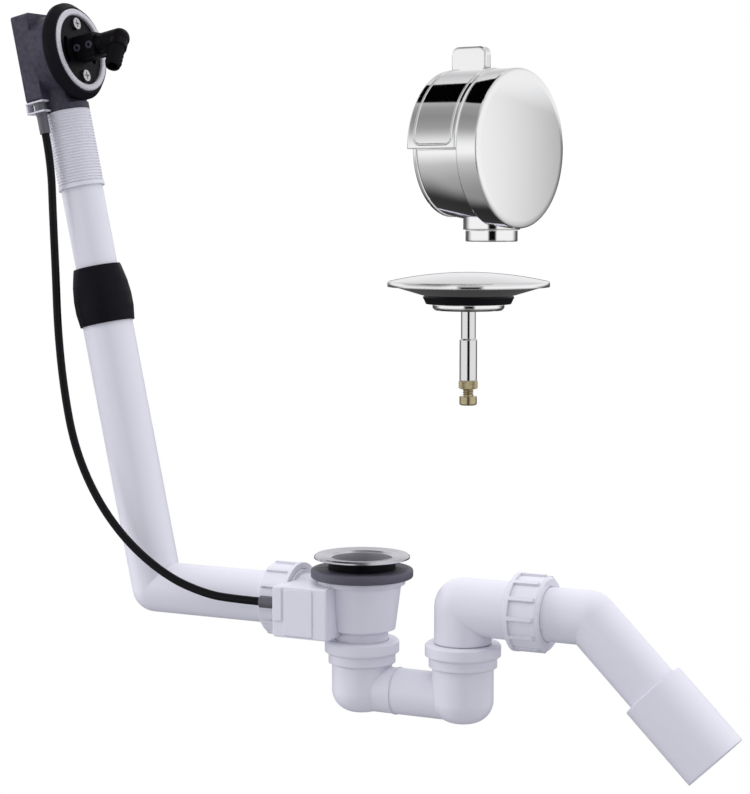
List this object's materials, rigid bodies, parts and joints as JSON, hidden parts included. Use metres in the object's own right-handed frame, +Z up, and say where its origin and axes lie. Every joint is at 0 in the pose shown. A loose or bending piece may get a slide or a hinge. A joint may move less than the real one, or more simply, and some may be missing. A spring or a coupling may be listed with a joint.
{
  "type": "bath waste and overflow",
  "caption": "Cable-operated bath waste and overflow: leaning pipe with a turning head, waste with lift lever, trap and outlet bend, with a chrome cover and plug taken off.",
  "frame": {"origin": "waste axis at the underside of the chrome flange, which is the bath floor's upper face", "axes": "+Z up along the waste axis, +X towards the outlet, -Y towards the side with the lever housing and cable"},
  "size_m": [0.6216, 0.5296, 0.5702],
  "materials": {
    "white": "satin moulded polypropylene",
    "black_plastic": "fine grained moulding",
    "grey_plastic": "satin",
    "pale_plastic": "satin",
    "black_rubber": "matt",
    "grey_rubber": "matt",
    "chrome": "polished",
    "steel": "bright",
    "brass": "turned"
  },
  "bodies": {
    "fixed": {"waste_body": "white", "housing_lid": "white", "trap": "white", "outlet_elbow": "white", "overflow_nut": "white", "outlet_nut": "white", "outlet_bend": "white", "outlet_sleeve": "white", "overflow_elbow": "white", "overflow_upper_pipe": "white", "ribbed_tube": "white", "cable_clip": "white", "flange_tail": "black_plastic", "head_housing": "black_plastic", "head_back": "black_plastic", "head_plate": "black_plastic", "upper_ferrule": "grey_plastic", "lower_ferrule": "grey_plastic", "seal_retainer": "grey_plastic", "aerator_screen": "pale_plastic", "rubber_boot": "black_rubber", "head_gasket": "black_rubber", "control_cable": "black_rubber", "plug_seal": "black_rubber", "waste_gasket": "grey_rubber", "trap_inlet_seal": "grey_rubber", "trap_outlet_seal": "grey_rubber", "overflow_nut_seal": "grey_rubber", "outlet_nut_seal": "grey_rubber", "waste_flange": "chrome", "cover_cap": "chrome", "cover_body": "chrome", "aerator": "chrome", "plug_cap": "chrome", "plug_stem": "chrome", "clamp_ring": "steel", "clamp_screws": "steel", "plug_lock_nut": "brass", "plug_screw": "brass"},
    "spindle": {"nozzle_elbow": "black_plastic", "control_spindle": "steel", "cable_drum": "black_plastic"},
    "lever": {"lever_shaft": "steel", "pull_lever": "pale_plastic", "wire_nipple": "steel", "lift_lever": "pale_plastic"},
    "cover_ring": {"control_ring": "chrome"}
  },
  "joints": [
    {"name": "spindle_turn", "type": "hinge", "parent": "fixed", "child": "spindle", "pos_m": [-0.24815, 0, 0.38967], "axis": [-0.9781, 0, -0.2079], "range_deg": [0, 45]},
    {"name": "lever_turn", "type": "hinge", "parent": "fixed", "child": "lever", "pos_m": [-0.018, 0, -0.0465], "axis": [0, -1, 0], "range_deg": [0, 36]},
    {"name": "ring_turn", "type": "hinge", "parent": "fixed", "child": "cover_ring", "pos_m": [0.304, -0.433, 0.2962], "axis": [0.9816, -0.1908, 0], "range_deg": [0, 50]}
  ],
  "couplings": [
    {"joint": "lever_turn", "follows": "spindle_turn", "ratio": 0.8}
  ]
}
